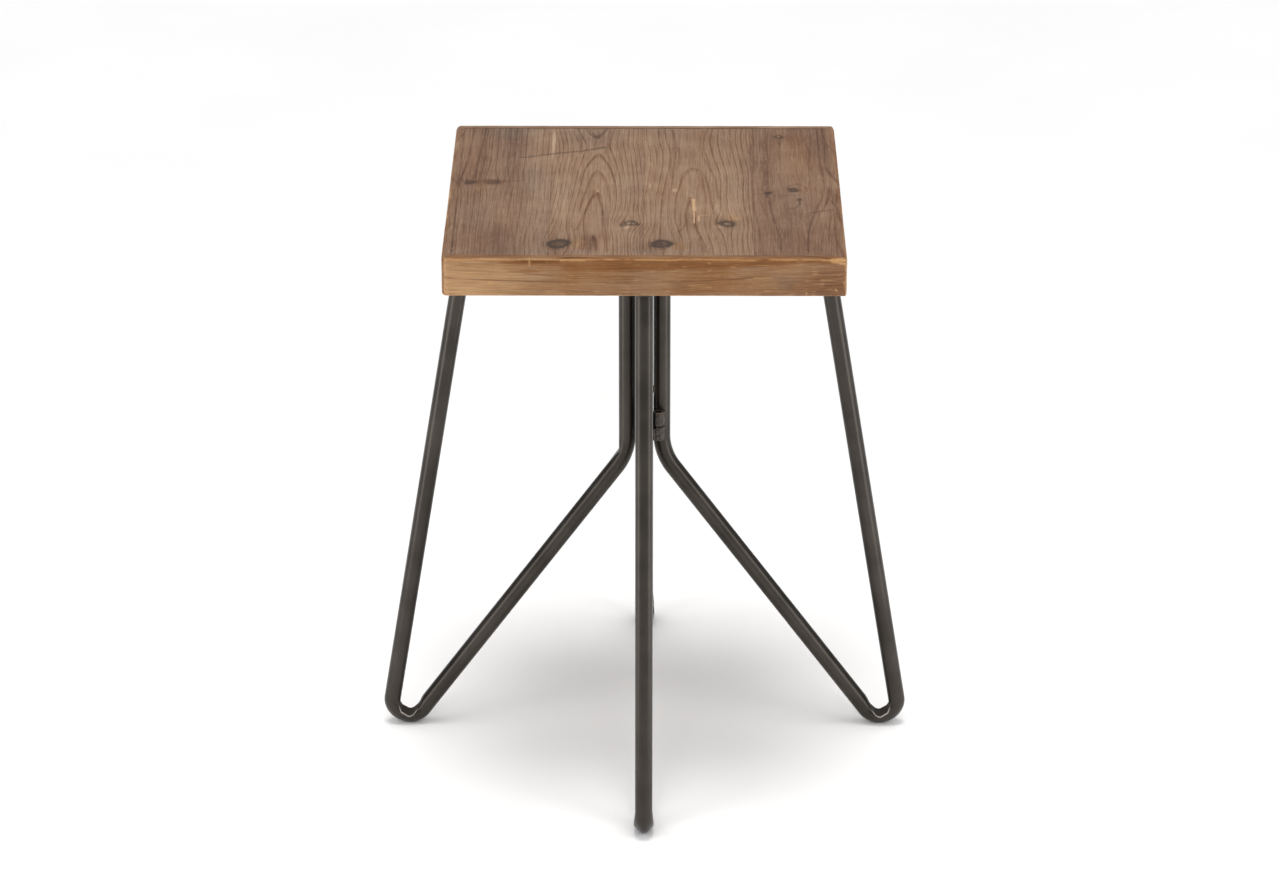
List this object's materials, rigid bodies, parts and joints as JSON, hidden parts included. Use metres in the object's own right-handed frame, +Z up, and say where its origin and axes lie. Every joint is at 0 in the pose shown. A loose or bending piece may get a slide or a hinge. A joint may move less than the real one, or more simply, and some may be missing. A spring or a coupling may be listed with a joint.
{
  "type": "lamp table",
  "caption": "Square lamp table with a thick reclaimed plank top on hairpin legs of bent steel tube set in a cross.",
  "frame": {"origin": "on the floor, under the middle of the top", "axes": "+Z up, -Y the front edge of the top (planks run front to back along Y), +X to the right seen from the front"},
  "size_m": [0.5558, 0.5558, 0.605],
  "materials": {
    "reclaimed_pine": "worn satin, weathered grey-brown with bare wood on the edges",
    "core_pine": "plain planed pine",
    "bronze_steel": "satin dark bronze grey paint",
    "plated_steel": "zinc plated"
  },
  "bodies": {
    "root": {"top_plank_1": "reclaimed_pine", "top_plank_2": "reclaimed_pine", "top_plank_3": "reclaimed_pine", "top_plank_4": "reclaimed_pine", "top_core_board": "core_pine", "edge_strip_right": "reclaimed_pine", "edge_strip_back": "reclaimed_pine", "edge_strip_left": "reclaimed_pine", "edge_strip_front": "reclaimed_pine", "leg_tube_right": "bronze_steel", "leg_tube_back": "bronze_steel", "leg_tube_left": "bronze_steel", "leg_tube_front": "bronze_steel", "leg_strap_right": "bronze_steel", "leg_strap_back": "bronze_steel", "leg_strap_left": "bronze_steel", "leg_strap_front": "bronze_steel", "strap_screws": "plated_steel", "tie_front_right_lower_barrel": "bronze_steel", "tie_front_right_upper_barrel": "bronze_steel", "tie_front_right_pin": "plated_steel", "tie_back_left_lower_barrel": "bronze_steel", "tie_back_left_upper_barrel": "bronze_steel", "tie_back_left_pin": "plated_steel"}
  },
  "joints": []
}
